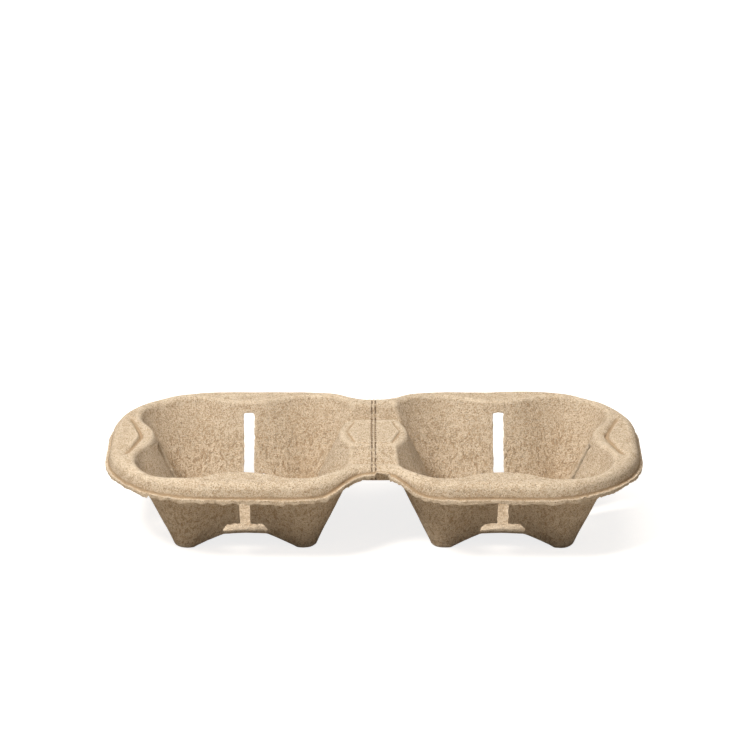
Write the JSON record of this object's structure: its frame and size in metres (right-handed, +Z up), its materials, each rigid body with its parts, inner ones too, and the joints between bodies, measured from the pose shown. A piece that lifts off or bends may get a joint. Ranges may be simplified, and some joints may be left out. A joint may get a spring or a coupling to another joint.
{
  "type": "cardboard cup carrier",
  "caption": "Moulded-pulp carrier tray for takeaway cups: lobed tapering pockets on small feet, joined by a bridge under a rolled, waisted rim.",
  "frame": {"origin": "on the ground under the middle of the bridge between the pockets", "axes": "+X along the carrier through both pockets, +Z up out of the pockets, front towards -Y"},
  "size_m": [0.22, 0.108, 0.04],
  "materials": {
    "pulp": "matte"
  },
  "bodies": {
    "root": {"cup_carrier": "pulp"}
  },
  "joints": []
}
